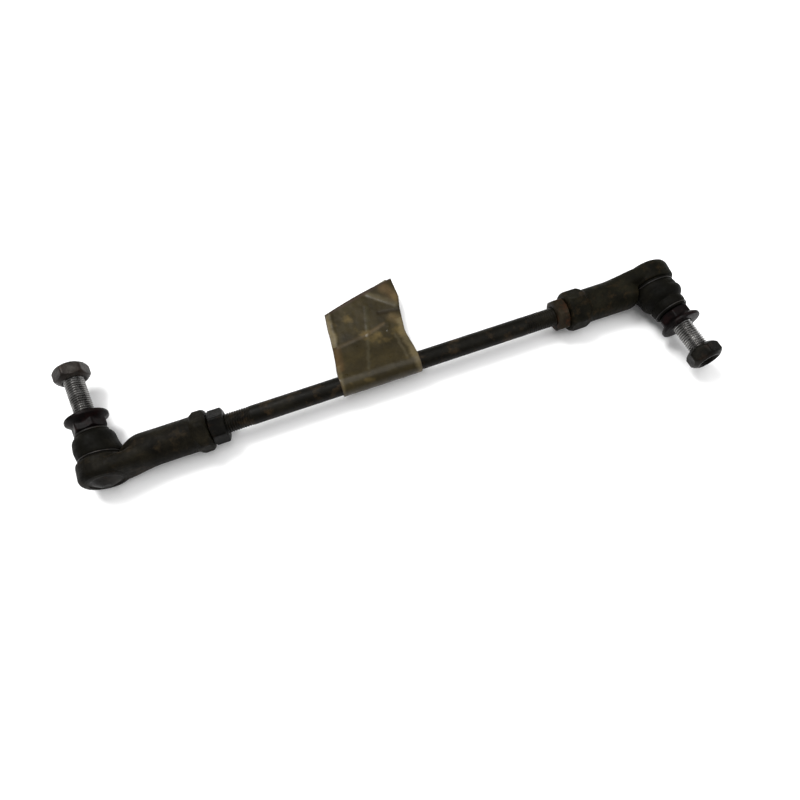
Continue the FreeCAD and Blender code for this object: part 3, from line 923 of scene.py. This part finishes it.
def flap_tone(x, away, span):
    """The label's colour at a place: paper in the middle, clear tape with glue at its edges, and painted
    highlights and shade along the folds.
    """
    cream = Vector((0.105, 0.084, 0.046))
    mauve = Vector((0.034, 0.023, 0.018))
    colour = Vector((0.0225, 0.0172, 0.0066))
    wide = noise.noise((x * 0.10, away * 0.09, 11.0))
    fine = noise.noise((x * 0.5, away * 0.4, 3.0))
    colour *= 1.0 + 0.45 * wide + 0.15 * fine
    # stains and glue, with painted highlights on the raised folds and painted shade in the sunken one
    for ax, ay, bx, by, width, tint, strength in STAINS_AND_FOLD_LIGHT:
        share = crease(x + 0.8 * noise.noise((x * 0.3, away * 0.3, 1.0)), away, ax, ay, bx, by, width)
        colour = colour.lerp(Vector(tint), strength * share)
    left, right = x - span[0], span[1] - x
    uneven = 1.1 * noise.noise((away * 0.16, 7.0, 1.0)) + 0.4 * noise.noise((away * 0.7, 3.0, 5.0))
    left_margin = 5.0 + uneven - 0.06 * abs(away - 34)
    right_margin = 5.6 + uneven * 1.4 - 0.05 * abs(away - 16)
    if away > 27:
        colour = colour.lerp(cream, 0.85 * min(1.0, max(0.0, (left_margin - left) / 2.2)))
    if away < 12:
        colour = colour.lerp(cream, 0.40 * min(1.0, max(0.0, (left_margin - left) / 1.6)))
    if away < 34:
        colour = colour.lerp(cream, 0.62 * min(1.0, max(0.0, (right_margin - right) / 2.4)))
    hem = away - (50.5 + 0.255 * (x + 27.7))
    colour = colour.lerp(mauve, 0.8 * min(1.0, max(0.0, hem / 1.5)))
    rim = min(left, right)
    return colour.lerp(mauve, 0.5 * max(0.0, 1 - rim / 0.7))


def build_label():
    """The tape round the rod and its folded flap, as one closed skin over the paper.

    The upper sheet leaves the top of the wrap in a long slope. The lower one leaves near its side.
    """
    rod = Matrix.Translation((0, 0, AXIS_Z * MM)) @ Matrix.Scale(MM, 4)
    columns = 120
    rows = 130
    points, faces, tones = [], [], []
    across = [k / columns for k in range(columns + 1)]
    start, end = LABEL_WRAP
    radius, inner = 7.22, 6.12
    leave = {1: radians(78), -1: radians(16)}
    meet = {1: 30.0, -1: 13.0}

    def droop(x, y, z):
        return (x, y * cos(LABEL_SLOPE) + z * sin(LABEL_SLOPE), z * cos(LABEL_SLOPE) - y * sin(LABEL_SLOPE))

    def far_edge(t):
        """The far edge rises from left to right, and bulges a little."""
        return 52.9 + 12.5 * t + 1.1 * sin(pi * t)

    def sheet_height(face, away, from_away, from_z):
        t = min(1.0, (away - from_away) / (meet[face] - from_away))
        return face * (0.44 + (from_z - 0.44) * (1 - t) ** 2 * (1 + 0.5 * t))

    index = {}
    for face in (1, -1):
        root_away = radius * cos(leave[face])
        root_z = radius * sin(leave[face])
        for i in range(rows + 1):
            v = i / rows
            for j, t in enumerate(across):
                away = root_away + (far_edge(t) - root_away) * v
                left, right = flap_span(away)
                blend_in = min(1.0, (away - root_away) / 10.0)
                left += (start - left) * (1 - blend_in)
                right += (end - right) * (1 - blend_in)
                x = left + (right - left) * t
                z = sheet_height(face, away, root_away, root_z)
                if away > root_away + 2:
                    fade = min(1.0, (away - root_away - 2) / 6)
                    z += flap_height(x, away) * (1 if face > 0 else 0.6) * fade
                edge = min(j, columns - j) / columns * 50
                end_edge = (1 - v) * 50
                thin = min(1.0, 0.25 + min(edge, end_edge) / 1.0)
                if away > meet[1]:
                    z *= thin if abs(z) < 0.8 else 1
                index[face, i, j] = len(points)
                points.append(droop(x, away, z))
                tones.append(flap_tone(x, away, (left, right)))
        for i in range(rows):
            for j in range(columns):
                quad = (index[face, i, j], index[face, i, j + 1], index[face, i + 1, j + 1],
                        index[face, i + 1, j])
                faces.append(quad if face > 0 else quad[::-1])
    for i in range(rows):
        for j in (0, columns):
            faces.append((index[1, i, j], index[1, i + 1, j], index[-1, i + 1, j], index[-1, i, j]))
    for j in range(columns):
        faces.append((index[1, rows, j], index[1, rows, j + 1], index[-1, rows, j + 1], index[-1, rows, j]))
    # the wrap, from the upper sheet's root round the far side of the rod to the lower sheet's root
    turns = 60
    wrap = {}
    for layer in (0, 1):
        for k in range(turns + 1):
            a = leave[1] + (2 * pi - leave[1] - leave[-1]) * k / turns
            for j, t in enumerate(across):
                x = start + (end - start) * t
                r = inner
                if layer == 0:
                    fade = min(1.0, k / 4, (turns - k) / 4)
                    r = radius - 0.10 * fade * (0.5 + 0.5 * noise.noise((x * 0.35, cos(a) * 2, sin(a) * 2)))
                    r -= 0.22 * fade * max(0.0, noise.noise((x * 0.12, cos(a) * 1.2 + 4, sin(a) * 1.2)))
                    if min(j, columns - j) == 0:
                        r -= 0.3 * fade
                wrap[layer, k, j] = len(points)
                points.append(droop(x, r * cos(a), r * sin(a)))
                tones.append(flap_tone(x, 1.5 - radius * (a - leave[1]), (start, end)))
        for k in range(turns):
            for j in range(columns):
                quad = (wrap[layer, k, j], wrap[layer, k, j + 1], wrap[layer, k + 1, j + 1],
                        wrap[layer, k + 1, j])
                faces.append(quad[::-1] if layer == 0 else quad)
    for k in range(turns):
        for j in (0, columns):
            faces.append((wrap[0, k, j], wrap[0, k + 1, j], wrap[1, k + 1, j], wrap[1, k, j]))
    for j in range(columns):
        faces.append((wrap[0, 0, j], wrap[0, 0, j + 1], index[1, 0, j + 1], index[1, 0, j]))
        faces.append((wrap[0, turns, j], index[-1, 0, j], index[-1, 0, j + 1], wrap[0, turns, j + 1]))
        faces.append((wrap[1, 0, j], wrap[1, turns, j], wrap[1, turns, j + 1], wrap[1, 0, j + 1]))
    for j in (0, columns):
        faces.append((index[1, 0, j], wrap[0, 0, j], wrap[1, 0, j], wrap[1, turns, j], wrap[0, turns, j],
                      index[-1, 0, j]))
    mesh = bpy.data.meshes.new("label")
    mesh.from_pydata(points, [], faces)
    layer = mesh.color_attributes.new("tone", "FLOAT_COLOR", "POINT")
    for n, tone in enumerate(tones):
        layer.data[n].color = (*tone, 1)
    tidy = bmesh.new()
    tidy.from_mesh(mesh)
    bmesh.ops.remove_doubles(tidy, verts=tidy.verts, dist=1e-4)
    bmesh.ops.recalc_face_normals(tidy, faces=tidy.faces)
    tidy.to_mesh(mesh)
    tidy.free()
    label = add_object("label_sleeve", mesh, rod, 45)
    dress(label, "clear_tape", "rod", "label_tape")
    paint(frame["nodes"]["label_paper"], "label_paper")


# --------------------------------------------------------------------------- build
build_rod()
build_label()
for side in SIDES:
    build_socket(side)
    build_cover(side)
    build_stud(side)
    build_nuts(side)
    build_boot(side)
    build_rings(side)
    dress_internals(side)


# --------------------------------------------------------------------------- floor, light, camera
def floor():
    mesh = bpy.data.meshes.new("floor")
    size = 6.0
    mesh.from_pydata([(-size, -size, 0), (size, -size, 0), (size, size, 0), (-size, size, 0)], [],
                     [(0, 1, 2, 3)])
    obj = linked("floor", mesh)
    obj.location.z = -0.0002
    m = bpy.data.materials.new("floor")
    m.use_nodes = True
    shader = m.node_tree.nodes["Principled BSDF"]
    shader.inputs["Base Color"].default_value = (0.95, 0.95, 0.95, 1)
    shader.inputs["Roughness"].default_value = 0.9
    obj.data.materials.append(m)


def area(name, at, size, power):
    light = bpy.data.lights.new(name, "AREA")
    light.shape = "SQUARE"
    light.size = size
    light.energy = power
    obj = linked(name, light)
    obj.location = at
    obj.rotation_euler = (-Vector(at)).to_track_quat("-Z", "Y").to_euler()


floor()
area("key", (-0.45, 0.7, 1.4), 0.6, 24)
area("fill", (0.9, -0.7, 1.2), 0.9, 8)
area("top", (0.1, 0.0, 1.9), 1.4, 18)
world = bpy.data.worlds.new("studio")
bpy.context.scene.world = world
world.use_nodes = True
world.node_tree.nodes["Background"].inputs["Color"].default_value = (1, 1, 1, 1)
world.node_tree.nodes["Background"].inputs["Strength"].default_value = 0.36
bpy.context.scene.view_settings.view_transform = "Standard"

ELEVATION = radians(68.4)
AZIMUTH = radians(-19.8)
AIM = Vector((-2.066, -20.989, 15.0)) * MM
AWAY = 396.952 * MM
LENS = 29.25
camera = bpy.data.cameras.new("camera")
camera.lens = LENS
camera.sensor_width = 36
camera.clip_start = 0.01
back = Vector((sin(AZIMUTH) * cos(ELEVATION), -cos(AZIMUTH) * cos(ELEVATION), sin(ELEVATION)))
right = Vector((cos(AZIMUTH), sin(AZIMUTH), 0))
eye = linked("camera", camera)
eye.matrix_world = Matrix.Translation(AIM + back * AWAY) @ Matrix((right, back.cross(right),
                                                                   back)).transposed().to_4x4()
bpy.context.scene.camera = eye
